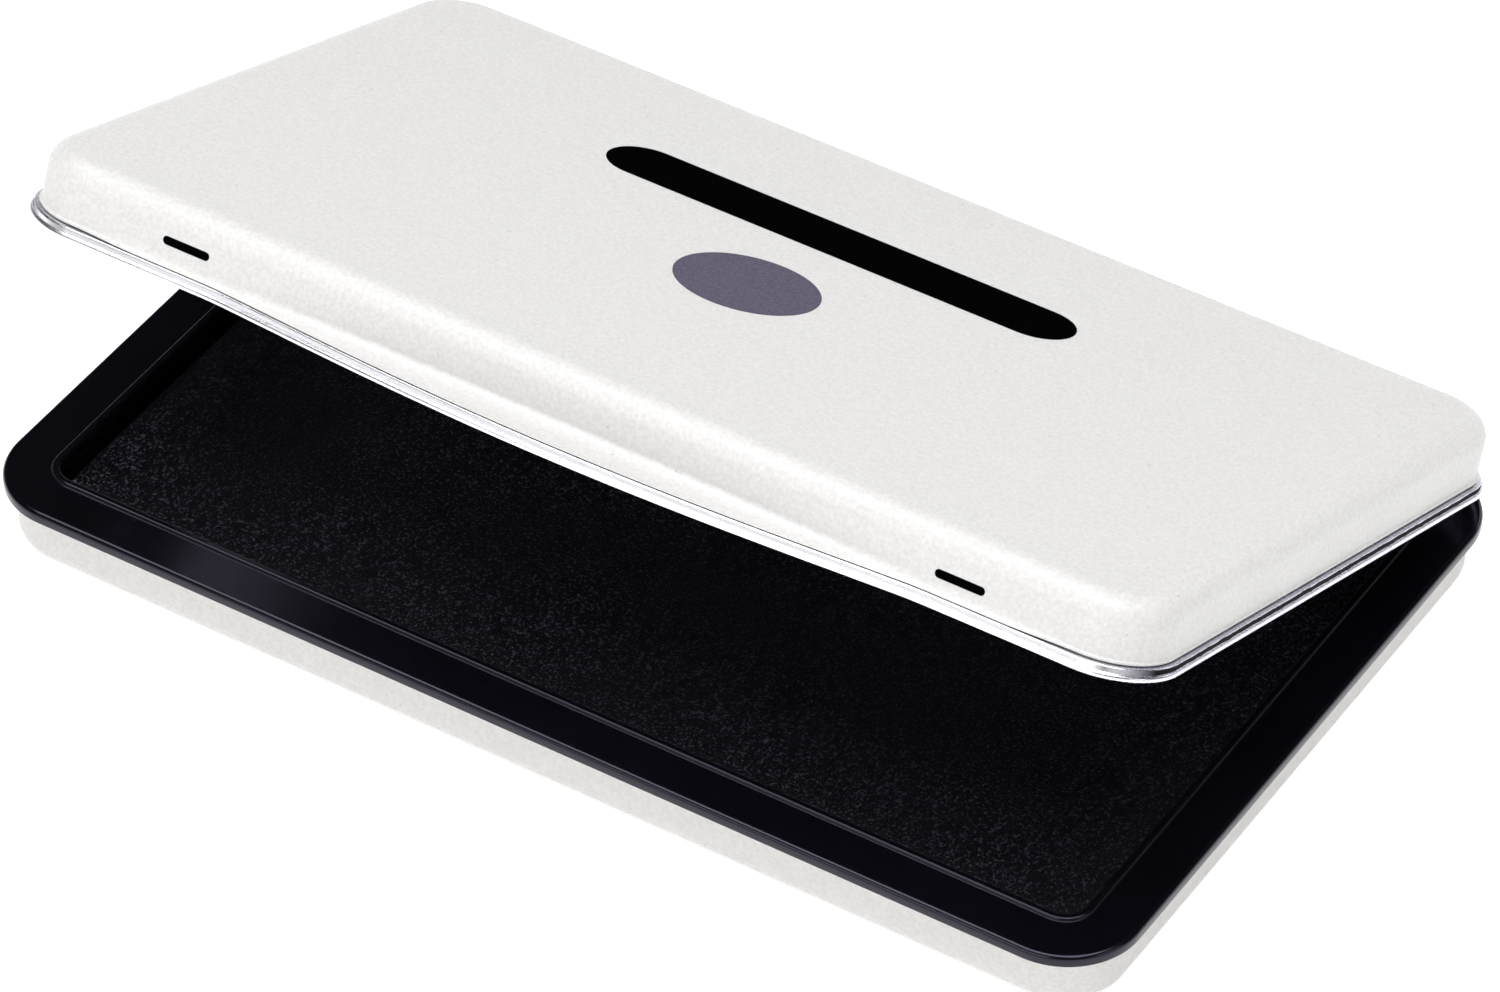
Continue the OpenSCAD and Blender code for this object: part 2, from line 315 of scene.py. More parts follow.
def rolled_metal(name, light, shade, low, high, relief=0.12, streak=(0.05, 1.0, 1.0)):
    """Bare rolled sheet or wire: a grey metal with fine streaks along the rolling direction
    and a patchy dull film where hands and ink vapour have been."""
    material, surface, place = finish(name, Metallic=1.0)
    run = add(material, "Mapping", {"Vector": place, "Scale": streak})
    lines = add(material, "TexNoise", {"Vector": run.outputs["Vector"], "Scale": per(0.35),
                                       "Detail": 4.0})
    film = add(material, "TexNoise", {"Vector": place, "Scale": per(11.0), "Detail": 3.0})
    tone = add(material, "Mix", {FACTOR: film.outputs["Fac"], LEFT: rgb(light),
                                 RIGHT: rgb(shade)}, data_type="RGBA")
    both = add(material, "Math", {0: lines.outputs["Fac"], 1: film.outputs["Fac"]},
               operation="MULTIPLY")
    gloss = add(material, "MapRange", {"Value": both.outputs["Value"], "From Min": 0.1,
                                       "From Max": 0.45, "To Min": low, "To Max": high})
    bump = add(material, "Bump", {"Height": lines.outputs["Fac"], "Strength": relief,
                                  "Distance": 0.00003})
    feed(material, surface, Base_Color=tone.outputs[MIXED],
         Roughness=gloss.outputs["Result"], Normal=bump.outputs["Normal"])
    return material


# The painted shade in the hem's step, a matt black line that stands in for the shade and
# dark reflection there, in millimetres: its middle over the lid's lower edge, half its
# height, and how far it wanders
PAINTED_SHADE_MID = 0.95
PAINTED_SHADE_HALF = 0.26
PAINTED_SHADE_WANDER = 0.12
# The distances from the case's middle between which the front passes into the sides
SIDE_FROM, SIDE_TO = 60.0, 63.5
# The heights over the hinge line between which the painted highlight on the front of the hem
# fades out
HIGHLIGHT_FROM, HIGHLIGHT_TO = 1.4, 2.4


def tinplate_painted_shade_highlight():
    """Tinplate left bare. Along both sides the step of the hem gets painted shade, a matt black
    line as wide as the step is high that stands in for the shade and dark reflection there.
    The front of the hem gets a painted highlight that makes it lighter than the sides."""
    material = rolled_metal("rolled_tinplate", "#CDCBD6", "#BFBDCA", 0.23, 0.32, 0.03)
    nodes = material.node_tree.nodes
    surface, place = nodes["Principled BSDF"], nodes["Texture Coordinate"].outputs["Object"]
    surface.inputs["Specular IOR Level"].default_value = 0.1
    tone = surface.inputs["Base Color"].links[0].from_socket
    gloss = surface.inputs["Roughness"].links[0].from_socket
    # The height over the hinge line, square to the opened lid
    lid_up = Matrix.Rotation(math.radians(REST_ANGLE), 3, "X") @ Vector((0, 0, 1))
    rise = add(material, "VectorMath", {0: place, 1: HINGE * MM}, operation="SUBTRACT")
    height = add(material, "VectorMath", {0: rise.outputs["Vector"], 1: lid_up},
                 operation="DOT_PRODUCT")
    # Painted shade: a wandering band at the height of the hem's step, along the sides only, is
    # made matt black and not metallic
    wander = add(material, "TexNoise", {"Vector": place, "Scale": per(1.5), "Detail": 2.0})
    level = add(material, "Math", {0: wander.outputs["Fac"], 1: PAINTED_SHADE_WANDER * MM,
                                   2: height.outputs["Value"]}, operation="MULTIPLY_ADD")
    line = PAINTED_SHADE_MID + PAINTED_SHADE_WANDER / 2 + LID_Z - HINGE.z
    step = add(material, "Math", {0: level.outputs["Value"], 1: line * MM,
                                  2: PAINTED_SHADE_HALF * MM}, operation="COMPARE")
    across = add(material, "SeparateXYZ", {"Vector": place})
    reach = add(material, "Math", {0: across.outputs["X"]}, operation="ABSOLUTE")
    side = add(material, "MapRange", {"Value": reach.outputs["Value"],
                                      "From Min": SIDE_FROM * MM,
                                      "From Max": SIDE_TO * MM})
    painted_shade = add(material, "Math", {0: step.outputs["Value"], 1: side.outputs["Result"]},
                operation="MULTIPLY")
    # Painted highlight: the front of the hem is made lighter than the sides, standing in for the
    # bright reflection there
    low = add(material, "MapRange", {"Value": height.outputs["Value"],
                                     "From Min": HIGHLIGHT_FROM * MM, "From Max": HIGHLIGHT_TO * MM,
                                     "To Min": 1.0, "To Max": 0.0})
    front = add(material, "Math", {0: 1.0, 1: side.outputs["Result"]}, operation="SUBTRACT")
    painted_highlight = add(material, "Math", {0: low.outputs["Result"], 1: front.outputs["Value"]},
                 operation="MULTIPLY")
    metal = add(material, "Mix", {FACTOR: painted_highlight.outputs["Value"], LEFT: tone,
                                  RIGHT: rgb("#E2E1E6")}, data_type="RGBA")
    colour = add(material, "Mix", {FACTOR: painted_shade.outputs["Value"],
                                   LEFT: metal.outputs[MIXED],
                                   RIGHT: rgb("#07060B")}, data_type="RGBA")
    dull = add(material, "MapRange", {"Value": painted_shade.outputs["Value"], "To Min": gloss,
                                      "To Max": 0.75})
    bare = add(material, "Math", {0: 1.0, 1: painted_shade.outputs["Value"]}, operation="SUBTRACT")
    feed(material, surface, Base_Color=colour.outputs[MIXED],
         Roughness=dull.outputs["Result"], Metallic=bare.outputs["Value"])
    return material


def moulded_black():
    """Black polystyrene, injection moulded: a satin face with a faint bluish cast, very fine
    texture from the mould and a few rubbed places that shine."""
    material, surface, place = finish("moulded_polystyrene_black", IOR=1.55,
                                      Specular_IOR_Level=0.3,
                                      Specular_Tint=rgb("#D9D0EE"))
    grit = add(material, "TexNoise", {"Vector": place, "Scale": per(0.25), "Detail": 3.0})
    rub = add(material, "TexNoise", {"Vector": place, "Scale": per(14.0), "Detail": 4.0})
    tone = add(material, "Mix", {FACTOR: rub.outputs["Fac"], LEFT: rgb("#030305"),
                                 RIGHT: rgb("#08070C")}, data_type="RGBA")
    gloss = add(material, "MapRange", {"Value": rub.outputs["Fac"], "From Min": 0.3,
                                       "From Max": 0.7, "To Min": 0.15, "To Max": 0.19})
    relief = add(material, "Bump", {"Height": grit.outputs["Fac"], "Strength": 0.16,
                                    "Distance": 0.00003})
    feed(material, surface, Base_Color=tone.outputs[MIXED],
         Roughness=gloss.outputs["Result"], Normal=relief.outputs["Normal"])
    return material


# The spacing of the cloth's threads, and how far they sway from a straight line, in
# millimetres
THREAD = 0.28
THREAD_SWAY = 0.3


def inked_cloth():
    """Fine plain-woven cotton soaked with black ink: threads about 0.28 mm apart that the wet
    ink half fills, so it looks like a fine violet-black grain. Its tiny glints are painted
    highlights, bright specks put into the base colour. The weave is drawn a little coarser
    than the cloth's own so that it shows."""
    material, surface, place = finish("ink_soaked_cotton", IOR=1.4, Sheen_Weight=0.02,
                                      Sheen_Roughness=0.5, Specular_IOR_Level=0.1)
    surface.inputs["Sheen Tint"].default_value = rgb("#8A83A4")
    ripple = add(material, "TexNoise", {"Vector": place, "Scale": per(2.4), "Detail": 2.0})
    shift = add(material, "VectorMath", {0: ripple.outputs["Color"],
                                         1: (THREAD_SWAY * MM,) * 3}, operation="MULTIPLY")
    laid = add(material, "VectorMath", {0: place, 1: shift.outputs["Vector"]},
               operation="ADD")
    warp, weft = [add(material, "TexWave", {"Vector": laid.outputs["Vector"],
                                            "Scale": per(THREAD) * WAVE_TURN,
                                            "Distortion": 0.6, "Detail Scale": 2.0},
                      bands_direction=way) for way in "XY"]
    weave = add(material, "Math", {0: warp.outputs["Fac"], 1: weft.outputs["Fac"]},
                operation="MULTIPLY")
    fuzz = add(material, "TexNoise", {"Vector": place, "Scale": per(0.3), "Detail": 2.0,
                                      "Roughness": 0.6})
    pool = add(material, "TexNoise", {"Vector": place, "Scale": per(22.0), "Detail": 3.0})
    height = add(material, "Math", {0: weave.outputs["Value"], 1: fuzz.outputs["Fac"]},
                 operation="ADD")
    # Painted glints: sparse bright specks put into the base colour as highlights
    painted_glint = add(material, "MapRange", {"Value": fuzz.outputs["Fac"], "From Min": 0.55,
                                       "From Max": 0.64})
    tone = add(material, "Mix", {FACTOR: painted_glint.outputs["Result"], LEFT: rgb("#010101"),
                                 RIGHT: rgb("#3D3847")}, data_type="RGBA")
    soaked = add(material, "MapRange", {"Value": pool.outputs["Fac"], "From Min": 0.35,
                                        "From Max": 0.65, "To Min": 0.0, "To Max": 0.5})
    colour = add(material, "Mix", {FACTOR: soaked.outputs["Result"],
                                   LEFT: tone.outputs[MIXED],
                                   RIGHT: rgb("#08070B")}, data_type="RGBA")
    gloss = add(material, "MapRange", {"Value": height.outputs["Value"], "From Min": 0.4,
                                       "From Max": 1.4, "To Min": 0.42, "To Max": 0.72})
    relief = add(material, "Bump", {"Height": height.outputs["Value"], "Strength": 0.45,
                                    "Distance": 0.00012})
    feed(material, surface, Base_Color=colour.outputs[MIXED],
         Roughness=gloss.outputs["Result"], Normal=relief.outputs["Normal"])
    return material


def wool_felt(name, light, shade):
    """Pressed wool felt that holds ink: matted fibres in clumps of about 1 mm, no gloss."""
    material, surface, place = finish(name, IOR=1.45, Sheen_Weight=0.25, Sheen_Roughness=0.6)
    fibre = add(material, "TexNoise", {"Vector": place, "Scale": per(0.25), "Detail": 5.0,
                                       "Roughness": 0.75, "Distortion": 1.5})
    clump = add(material, "TexNoise", {"Vector": place, "Scale": per(1.1), "Detail": 3.0})
    both = add(material, "Math", {0: fibre.outputs["Fac"], 1: clump.outputs["Fac"]},
               operation="MULTIPLY")
    spread = add(material, "MapRange", {"Value": both.outputs["Value"], "From Min": 0.15,
                                        "From Max": 0.38})
    tone = add(material, "Mix", {FACTOR: spread.outputs["Result"], LEFT: rgb(shade),
                                 RIGHT: rgb(light)}, data_type="RGBA")
    gloss = add(material, "MapRange", {"Value": clump.outputs["Fac"], "To Min": 0.8,
                                       "To Max": 0.98})
    relief = add(material, "Bump", {"Height": fibre.outputs["Fac"], "Strength": 0.6,
                                    "Distance": 0.0002})
    feed(material, surface, Base_Color=tone.outputs[MIXED],
         Roughness=gloss.outputs["Result"], Normal=relief.outputs["Normal"])
    return material


def pressed_board():
    """Grey-brown fibre board, calendered: short fibres lying flat and a dull, dry face."""
    material, surface, place = finish("calendered_fibre_board", IOR=1.45)
    run = add(material, "Mapping", {"Vector": place, "Scale": (0.3, 1.0, 1.0)})
    fibre = add(material, "TexNoise", {"Vector": run.outputs["Vector"], "Scale": per(0.4),
                                       "Detail": 4.0, "Distortion": 0.8})
    spread = add(material, "MapRange", {"Value": fibre.outputs["Fac"], "From Min": 0.35,
                                        "From Max": 0.65})
    tone = add(material, "Mix", {FACTOR: spread.outputs["Result"], LEFT: rgb("#3C332B"),
                                 RIGHT: rgb("#5A4D40")}, data_type="RGBA")
    gloss = add(material, "MapRange", {"Value": fibre.outputs["Fac"], "To Min": 0.62,
                                       "To Max": 0.8})
    relief = add(material, "Bump", {"Height": fibre.outputs["Fac"], "Strength": 0.25,
                                    "Distance": 0.00008})
    feed(material, surface, Base_Color=tone.outputs[MIXED],
         Roughness=gloss.outputs["Result"], Normal=relief.outputs["Normal"])
    return material


def screen_ink(name, light, shade):
    """Screen-printed ink: an opaque satin film with a faint mottle from the mesh."""
    material, surface, place = finish(name, IOR=1.5, Specular_IOR_Level=0.0)
    mottle = add(material, "TexNoise", {"Vector": place, "Scale": per(0.3), "Detail": 3.0})
    spread = add(material, "MapRange", {"Value": mottle.outputs["Fac"], "From Min": 0.35,
                                        "From Max": 0.65})
    tone = add(material, "Mix", {FACTOR: spread.outputs["Result"], LEFT: rgb(shade),
                                 RIGHT: rgb(light)}, data_type="RGBA")
    gloss = add(material, "MapRange", {"Value": mottle.outputs["Fac"], "To Min": 0.38,
                                       "To Max": 0.5})
    relief = add(material, "Bump", {"Height": mottle.outputs["Fac"], "Strength": 0.08,
                                    "Distance": 0.00002})
    feed(material, surface, Base_Color=tone.outputs[MIXED],
         Roughness=gloss.outputs["Result"], Normal=relief.outputs["Normal"])
    return material


lid_enamel = stoved_enamel("stoved_enamel_lid", "#C4C3C2", "#B9B8B7", "#777675")
pan_enamel = stoved_enamel("stoved_enamel_pan", "#C4C2C0", "#BAB8B6", "#777573")
tinplate = tinplate_painted_shade_highlight()
leaf_metal = rolled_metal("rolled_steel_strip", "#BDBCC0", "#9B9AA0", 0.26, 0.45,
                          streak=(1.0, 0.08, 0.08))
pin_metal = rolled_metal("drawn_steel_wire", "#B5B4B8", "#8F8E94", 0.18, 0.34)
black_plastic = moulded_black()
ink_cloth = inked_cloth()
felt_dark = wool_felt("pressed_wool_felt_black", "#2B2634", "#0F0D13")
felt_soft = wool_felt("pressed_wool_felt_fine", "#241F2C", "#0C0A10")
board = pressed_board()
black_ink = screen_ink("screen_ink_black", "#040405", "#020202")
violet_ink = screen_ink("screen_ink_grey_violet", "#5A5564", "#4D4957")


# ---- Base ----

# Heights over the table: the tray's flange, its underside that lies on the pan, the foot
# of its skirt, the lip round the cloth, and the inside and the outside of its floor
FLANGE = 7.6
SEAT = 6.6
SKIRT = 6.3
CLOTH_LIP = 7.95
WELL, WELL_UNDER = 1.3, 0.5


def make_pan():
    """The pan: a flat bottom, a round bend, a wall and a narrow rim under the tray's
    skirt, and back down inside."""
    pan = formed("pan_shell", PAN, 0, [
        (-2.4, 0, 0), (0, 0, 1.6), (0, SKIRT, 0.12), (0.65, SKIRT, 0.08),
        (0.65, SEAT, 0.12), (-SHEET, SEAT, 0.3), (-SHEET, SHEET, 1.3), (-2.4, SHEET, 0)])
    settle(pan, "base", pan_enamel, ["base_pan"])


def make_tray():
    """The tray: its floor, the wall up to the lip round the cloth, the flange, the skirt,
    and back under the flange to the floor's underside."""
    tray = formed("tray_frame", CASE, 0, [
        (-6.5, WELL, 0), (-5.8, WELL, 0.35), (-5.8, CLOTH_LIP, 0.3),
        (-4.9, CLOTH_LIP, 0.28), (-4.9, FLANGE, 0.14), (0, FLANGE, 0.5), (0, SKIRT, 0.15),
        (-0.6, SKIRT, 0.12), (-0.6, SEAT, 0), (-4.8, SEAT, 0.3),
        (-4.8, WELL_UNDER, 0.6), (-6.5, WELL_UNDER, 0)])
    settle(tray, "base", black_plastic, ["ink_tray"])


# ---- Lid ----

def lip_reach(x):
    """How far the thumb lip stands out at this distance from its middle."""
    if abs(x) >= LIP_HALF:
        return 0
    return LIP_DEPTH * (1 - (x / LIP_HALF) ** 2) ** LIP_CURVE


def front_reach(x):
    """How much of the front's own flare shows here. It dies out into the corners."""
    share = max(0, min(1, (RIM[0] / 2 - RIM[2] - abs(x)) / FLARE_FADE))
    return FRONT_FLARE * share * share * (3 - 2 * share)


def flare_front(shell):
    """Draws the foot of the painted front wall out into a hollow flare over the lip."""
    only(shell)
    front = RIM[1] / 2
    for vertex in shell.data.vertices:
        at = shell.matrix_world @ vertex.co
        height = at.z - LID_Z
        if at.y > WALL_BACK - front or height > FLARE_TOP:
            continue
        share = ((FLARE_TOP - height) / (FLARE_TOP - FOOT)) ** FLARE_CURVE
        vertex.co.y -= share * (lip_reach(at.x) + front_reach(at.x))


def draw_out_hem(liner):
    """Draws the front of the hem out into the thumb lip, its section kept."""
    only(liner)
    for vertex in liner.data.vertices:
        at = liner.matrix_world @ vertex.co
        if at.y < HEM_BACK - RIM[1] / 2 and at.z < LID_Z + HEM + NEAR:
            vertex.co.y -= lip_reach(at.x)


def make_lid_shell():
    """The painted lid: its top and round edge, the wall down to a small turned-out foot,
    and back up inside. The top is pressed up a little inside a margin."""
    wall, inside, foot, top = -WALL_IN, -WALL_IN - SHEET, FOOT, LID_TOP - LID_Z
    # Rows of points that let the foot of the wall bend out
    outer = [(wall, z, 0) for z in (FLARE_TOP, 2.4, 2.15, 1.95)]
    inner = [(inside, z, 0) for z in (1.85, 2.1, 2.4, FLARE_TOP)]
    shell = formed("lid_shell_painted", RIM, LID_Z, [
        (-4.2, top, 0), (wall, top, 2.4), *outer, (wall, foot + SHEET, 0.12),
        (-0.8, foot + SHEET, 0.1), (-0.8, foot, 0.1), (inside, foot, 0.25), *inner,
        (inside, top - SHEET, 2.1), (-4.2, top - SHEET, 0)], FRONT_CUTS)
    pick(shell, "faces", lambda f, at: f.normal.z > 0.99 and f.calc_area() > TOP_FACE)
    bpy.ops.mesh.inset(thickness=TOP_MARGIN, depth=TOP_RISE)
    flare_front(shell)
    settle(shell, "lid", lid_enamel, ["lid_shell"])


def make_liner():
    """The bare inner lid: its top and wall, the hem's step and its rolled edge, and back
    up inside."""
    liner = formed("lid_liner_tinplate", RIM, LID_Z, [
        (-4.4, 7.45, 0), (-1.35, 7.45, 2.05), (-1.35, HEM, 0.2), (-0.3, HEM, 0.18),
        (-0.3, 0.66, 0.05), (0, 0.66, 0.24), (0, 0, 0.33), (-0.66, 0, 0.3),
        (-0.66, 1.05, 0.15), (-1.6, 1.05, 0.35), (-1.6, 7.2, 1.8), (-4.4, 7.2, 0)],
        FRONT_CUTS)
    draw_out_hem(liner)
    settle(liner, "lid", tinplate, ["lid_liner"])


# How far the dashes on the front wall are from its middle
MARK_X = 43.7


def printed_patch(name, centre, size, radius, turn, depth, material):
    """A film of ink with round corners, drawn up from the lid's surface by depth."""
    bpy.ops.object.select_all(action="DESELECT")
    bpy.ops.mesh.primitive_plane_add(size=1, location=centre, rotation=turn)
    patch = bpy.context.object
    patch.name = patch.data.name = name
    patch.scale = (size[0], size[1], 1)
    bpy.ops.object.transform_apply(location=False, rotation=False, scale=True)
    bpy.ops.object.mode_set(mode="EDIT")
    bpy.ops.mesh.select_mode(type="VERT")
    bpy.ops.mesh.select_all(action="SELECT")
    bpy.ops.mesh.bevel(offset=radius, offset_type="OFFSET", segments=16, affect="VERTICES")
    bpy.ops.mesh.select_mode(type="FACE")
    bpy.ops.mesh.select_all(action="SELECT")
    push(depth)
    bpy.ops.mesh.select_all(action="SELECT")
    bpy.ops.mesh.normals_make_consistent(inside=False)
    settle(patch, "lid", material)


def make_print():
    """A bar and a disc on the top, and a dash near each end of the front wall. The films
    start inside the sheet and end just proud of its paint."""
    flat, rise = (0, 0, 0), (0, 0, TOP_RISE + 0.04)
    printed_patch("print_bar", (-1, 14.5, LID_TOP), (54, 8.4), 4.18, flat, rise, black_ink)
    printed_patch("print_disc", (-1, -4.5, LID_TOP), (15, 15), 7.48, flat, rise, violet_ink)
    wall = WALL_IN - RIM[1] / 2
    for side, x, z in (("left", -MARK_X, 3.9), ("right", MARK_X, 3.3)):
        printed_patch("print_mark_" + side, (x, wall + 0.05, LID_Z + z), (5.4, 0.9), 0.44,
                      (TURN, 0, 0), (0, -0.07, 0), black_ink)


# ---- Hinges ----

# The strip's thickness, the radius of its bends, its curl and the steps in the curl
LEAF = 0.4
BEND = 0.42
CURL = 3.1 * TURN
CURL_STEPS = 22
# The bores of the knuckles, as radii
BASE_BORE, LID_BORE = 0.6, 0.65
# The heights over the table of each leaf's tab end, its step and its neck, where the
# strip narrows to the knuckles
BASE_LEAF = (2.4, 5.75, 6.275)
LID_LEAF = (13.25, 9.9, 9.075)


def leaf(name, x, lengths, path, turn, keep_knuckle, body, node):
    """A leaf bent from strip: a weld tab, a step and a plate that curls round the pin.
    Path is (y, z, radius) to where the curl begins, lengths are the strip's stretches
    along the pin, and keep_knuckle says which of them keep their knuckle."""
    total = sum(lengths)
    piece = begin(name, (x - total / 2, path[0][0], path[0][1]))
    draw(piece, path, (0, 1, 0), (0, 0, 1))
    end = Vector((x - total / 2, path[-1][0], path[-1][1]))
    pick(piece, "verts", lambda v, at: (at - end).length < NEAR)
    bpy.ops.mesh.spin(steps=CURL_STEPS, angle=turn, center=(end.x, HINGE.y, HINGE.z),
                      axis=(1, 0, 0))
    bpy.ops.mesh.select_all(action="SELECT")
    for length in lengths:
        push((length, 0, 0))
    bpy.ops.mesh.select_all(action="SELECT")
    bpy.ops.mesh.remove_doubles(threshold=NEAR)
    neck = path[-2][1]
    starts = [x - total / 2 + sum(lengths[:k]) for k in range(len(lengths))]

    def spare(face, at):
        past_neck = abs(at.z - path[0][1]) > abs(neck - path[0][1])
        return past_neck and any(a < at.x < a + b and not kept for a, b, kept
                                 in zip(starts, lengths, keep_knuckle))
    pick(piece, "faces", spare)
    bpy.ops.mesh.delete(type="FACE")
    bpy.ops.mesh.select_all(action="SELECT")
    bpy.ops.mesh.normals_make_consistent(inside=False)
    only(piece)
    use(piece, "SOLIDIFY", thickness=LEAF, offset=0.0, use_even_offset=True)
    use(piece, "BEVEL", width=0.06, segments=2, limit_method="ANGLE",
        angle_limit=math.radians(40))
    dimple_welds(piece, x, path)
    settle(piece, body, leaf_metal, [node])


# The welding tip: its radius, how far it is flattened, how far its middle stands off the
# tab, and how far each mark is from the leaf's middle
TIP_RADIUS = 1.3
TIP_FLAT = 0.46
TIP_OFF = 0.46
WELD_X = 4.6


def dimple_welds(piece, x, path):
    """Presses the two round marks of the spot welds into the tab."""
    face = path[0][0] + LEAF / 2
    height = (path[0][1] + path[1][1]) / 2
    for side in (-1, 1):
        bpy.ops.object.select_all(action="DESELECT")
        bpy.ops.mesh.primitive_uv_sphere_add(segments=40, ring_count=24, radius=TIP_RADIUS,
                                             location=(x + side * WELD_X, face + TIP_OFF,
                                                       height),
                                             rotation=(TURN, 0, 0))
        tip = bpy.context.object
        tip.scale.z = TIP_FLAT
        only(piece)
        use(piece, "BOOLEAN", operation="DIFFERENCE", object=tip, solver="MANIFOLD")
        bpy.data.objects.remove(tip)


def pin(name, x, node):
    """A wire pin with a flat, round-edged head at both ends."""
    half, head, thick, radius = 8.0, 0.95, 0.35, 0.6
    piece = begin(name, (x + half + thick, HINGE.y, HINGE.z))
    draw(piece, [(0, half + thick, 0), (head, half + thick, 0.22), (head, half, 0.08),
                 (radius, half, 0), (radius, -half, 0), (head, -half, 0.08),
                 (head, -half - thick, 0.22), (0, -half - thick, 0)],
         (0, 0, 1), (1, 0, 0))
    bpy.ops.mesh.spin(steps=40, angle=4 * TURN, center=(x, HINGE.y, HINGE.z),
                      axis=(1, 0, 0))
    close_up()
    settle(piece, "base", pin_metal, [node])


def leaf_path(wall, heights, bore):
    """A leaf's path from the end of its tab on the wall to where its curl begins."""
    tab, plate = wall + LEAF / 2, HINGE.y - bore - LEAF / 2
    end, step, neck = heights
    return [(tab, end, 0), (tab, step, BEND), (plate, step, BEND), (plate, neck, 0),
            (plate, HINGE.z, 0)]


def make_hinges():
    """Two hinges: a base leaf with two knuckles, a lid leaf whose one knuckle stands
    between them, and a pin through all three."""
    for side, x in HINGE_SIDES.items():
        leaf("base_leaf_rolled_" + side, x, (4.8, 6.4, 4.8),
             leaf_path(PAN[1] / 2, BASE_LEAF, BASE_BORE), CURL, (True, False, True), "base",
             "base_leaf_" + side)
        leaf("lid_leaf_rolled_" + side, x, (5.0, 6.0, 5.0),
             leaf_path(RIM[1] / 2 - WALL_IN, LID_LEAF, LID_BORE), -CURL,
             (False, True, False), "lid", "lid_leaf_" + side)
        pin("hinge_pin_headed_" + side, x, "hinge_pin_" + side)


# ---- Pad ----

# Length, width and corner of the pad, its lowest and highest point before it swells, the
# radius of its upper edge, and the size of its remeshed faces
PAD = (117.8, 70.8, 1.9)
PAD_LOW, PAD_HIGH = 1.32, 5.8
PAD_EDGE = 0.6
VOXEL, VOXEL_QUICK = 1.15, 1.6
# The simulation runs on a pad of this scale. The cloth is held below HELD under its top,
# and no point moves further than SWELL_CAP, both in real millimetres.
CLOTH_SCALE = 0.01
CLOTH_FRAMES = 20
HELD = 1.2
SWELL_CAP = 0.35


def make_pad():
    """The cloth over the felt. It starts as a block with round corners and a round upper
    edge, and the felt's spring swells it into a low crown."""
    bpy.ops.object.select_all(action="DESELECT")
    bpy.ops.mesh.primitive_cube_add(size=1)
    pad = bpy.context.object
    pad.name = pad.data.name = "pad_cloth"
    pad.scale = (PAD[0], PAD[1], PAD_HIGH - PAD_LOW)
    bpy.ops.object.transform_apply(location=False, rotation=False, scale=True)
    bpy.ops.object.mode_set(mode="EDIT")
    pick(pad, "edges", lambda e, at: abs(e.verts[0].co.z - e.verts[1].co.z) > 1)
    bpy.ops.mesh.bevel(offset=PAD[2], offset_type="OFFSET", segments=6, affect="EDGES")
    pick(pad, "edges", lambda e, at: min(v.co.z for v in e.verts) > 1)
    bpy.ops.mesh.bevel(offset=PAD_EDGE, offset_type="OFFSET", segments=4, affect="EDGES")
    only(pad)
    use(pad, "REMESH", mode="VOXEL", voxel_size=VOXEL)
    pad.scale = (CLOTH_SCALE,) * 3
    bpy.ops.object.transform_apply(location=False, rotation=False, scale=True)
    swell(pad)
    pad.scale = (1 / CLOTH_SCALE,) * 3
    bpy.ops.object.transform_apply(location=False, rotation=False, scale=True)
    pad.location.z = (PAD_LOW + PAD_HIGH) / 2
    use(pad, "SUBSURF", levels=1, render_levels=1)
    settle(pad, "base", ink_cloth, ["pad_cover"], even=False)


def swell(pad):
    """Cloth under pressure from inside, held along its sides. The swelling is scaled down
    as a whole until no point moves further than the cap."""
    rest = [v.co.copy() for v in pad.data.vertices]
    top = max(v.z for v in rest)
    held = pad.vertex_groups.new(name="held")
    fixed = [k for k, v in enumerate(rest) if v.z < top - HELD * CLOTH_SCALE]
    held.add(fixed, 1.0, "REPLACE")
    bpy.ops.object.modifier_add(type="CLOTH")
    cloth = pad.modifiers[-1]
    cloth.settings.quality = 5
    cloth.settings.mass = 0.2
    cloth.settings.tension_stiffness = cloth.settings.compression_stiffness = 40
    cloth.settings.vertex_group_mass = "held"
    cloth.settings.use_pressure = True
    cloth.settings.uniform_pressure_force = 1
    cloth.settings.effector_weights.gravity = 0
    cloth.collision_settings.use_collision = False
    for number in range(1, CLOTH_FRAMES + 1):
        bpy.context.scene.frame_set(number)
    bpy.ops.object.modifier_apply(modifier=cloth.name)
    bpy.context.scene.frame_set(1)
    most = max((v.co - old).length for v, old in zip(pad.data.vertices, rest))
    cap = SWELL_CAP * CLOTH_SCALE
    share = cap / most if most > cap else 1
    for vertex, old in zip(pad.data.vertices, rest):
        vertex.co = old + (vertex.co - old) * share


make_pan()
make_tray()
make_lid_shell()
make_liner()
make_print()
make_hinges()
make_pad()

# The hidden filling stays as the frame has it, with its own finishes
for node, slot, material in (("pad_backing", "backing_sheet", board),
                             ("reservoir_felt", "ink_felt", felt_dark),
                             ("top_felt", "ink_felt", felt_soft)):
    part = frame["nodes"][node]
    part.data.materials.clear()
    part.data.materials.append(material)


# ---- Floor, light and camera ----

# Sizes and places from here on are in metres
FLOOR = 6
# Soft boxes: name, place, length and width, and watts
BOXES = (("overhead_box", (0, -0.1, 0.9), (1.1, 0.7), 15),
         ("front_box", (-0.1, -1.1, 0.5), (0.8, 0.3), 4.5),
         ("side_box", (1.1, -0.1, 0.5), (0.6, 0.3), 1.6),
         ("back_box", (0.3, 1.1, 0.5), (0.6, 0.3), 1.6))
AIM = (0, 0, 0.02)
# The camera: its place, its azimuth, elevation and roll in degrees, and its lens in
# millimetres
CAMERA_PLACE = (0.332085, -0.550708, 0.575196)
CAMERA_TURN = (31.022, 41.489, 1.248)
LENS, SENSOR = 205.94, 36


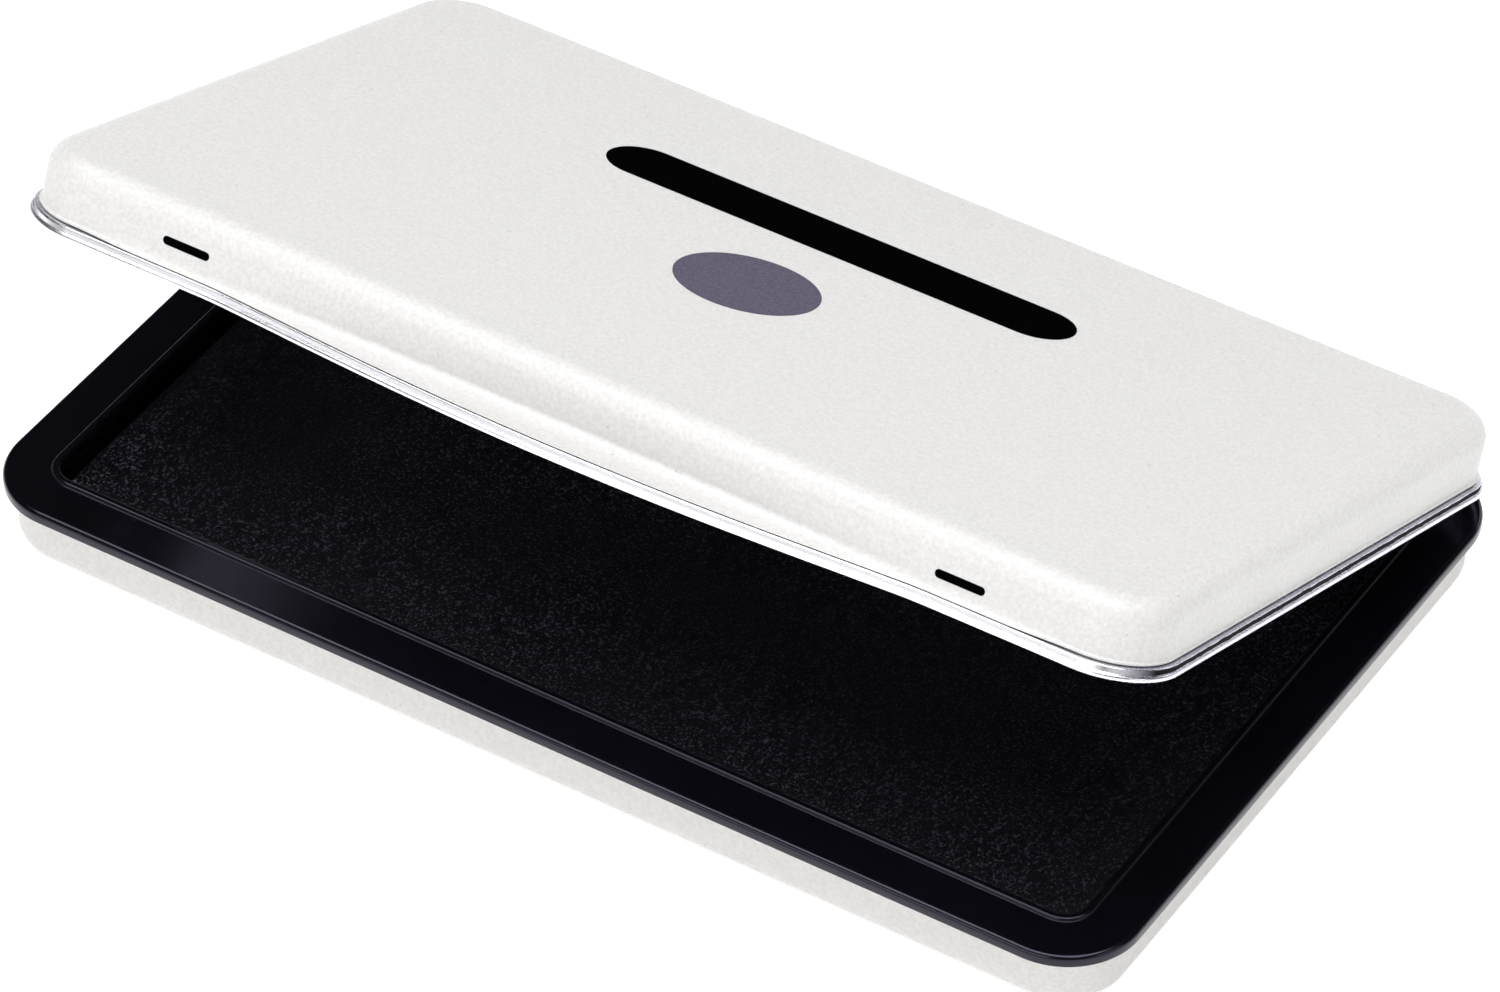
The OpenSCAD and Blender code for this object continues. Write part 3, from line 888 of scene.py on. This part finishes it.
def make_floor():
    """Matt white studio paper with a fine tooth, lit from within a little so that it
    stays white."""
    bpy.ops.object.select_all(action="DESELECT")
    bpy.ops.mesh.primitive_plane_add(size=FLOOR)
    floor = bpy.context.object
    floor.name = "floor"
    paper, surface, place = finish("studio_paper_white", Roughness=0.9,
                                   Emission_Color=rgb("#FFFFFF"), Emission_Strength=0.4)
    tooth = add(paper, "TexNoise", {"Vector": place, "Scale": per(3.0)})
    tone = add(paper, "Mix", {FACTOR: tooth.outputs["Fac"], LEFT: rgb("#FBFBFB"),
                              RIGHT: rgb("#F8F8F8")}, data_type="RGBA")
    feed(paper, surface, Base_Color=tone.outputs[MIXED])
    floor.data.materials.append(paper)


def lamp(name, place, size, watts):
    """A soft box that points at the case."""
    light = bpy.data.lights.new(name, "AREA")
    light.shape = "RECTANGLE"
    light.size, light.size_y = size
    light.energy = watts
    box = bpy.data.objects.new(name, light)
    bpy.context.scene.collection.objects.link(box)
    box.location = place
    box.rotation_euler = (Vector(AIM) - Vector(place)).to_track_quat("-Z", "Y").to_euler()


def make_light():
    """A surround that fades upwards, and four soft boxes."""
    world = bpy.data.worlds.new("studio")
    bpy.context.scene.world = world
    world.use_nodes = True
    # Pale near the horizon and dark overhead, so that black faces stay black
    way = add(world, "TexCoord").outputs["Generated"]
    height = add(world, "SeparateXYZ", {"Vector": way})
    fade = add(world, "MapRange", {"Value": height.outputs["Z"], "From Min": 0.02,
                                   "From Max": 0.38, "To Min": 0.7, "To Max": 0.035})
    background = world.node_tree.nodes["Background"]
    background.inputs["Color"].default_value = rgb("#FFFFFF")
    world.node_tree.links.new(fade.outputs["Result"], background.inputs["Strength"])
    for box in BOXES:
        lamp(*box)


def make_camera():
    """The camera stands in front, to the right and above, with a long lens."""
    azimuth, elevation, roll = (math.radians(angle) for angle in CAMERA_TURN)
    camera = bpy.data.objects.new("camera", bpy.data.cameras.new("camera"))
    bpy.context.scene.collection.objects.link(camera)
    camera.data.sensor_width = SENSOR
    camera.data.lens = LENS
    camera.data.clip_start, camera.data.clip_end = 0.05, 20
    turned = Matrix.Rotation(azimuth, 4, "Z") @ Matrix.Rotation(TURN - elevation, 4, "X")
    camera.matrix_world = (Matrix.Translation(CAMERA_PLACE) @ turned
                           @ Matrix.Rotation(roll, 4, "Z"))
    bpy.context.scene.camera = camera


make_floor()
make_light()
make_camera()
bpy.context.scene.view_settings.view_transform = "Standard"
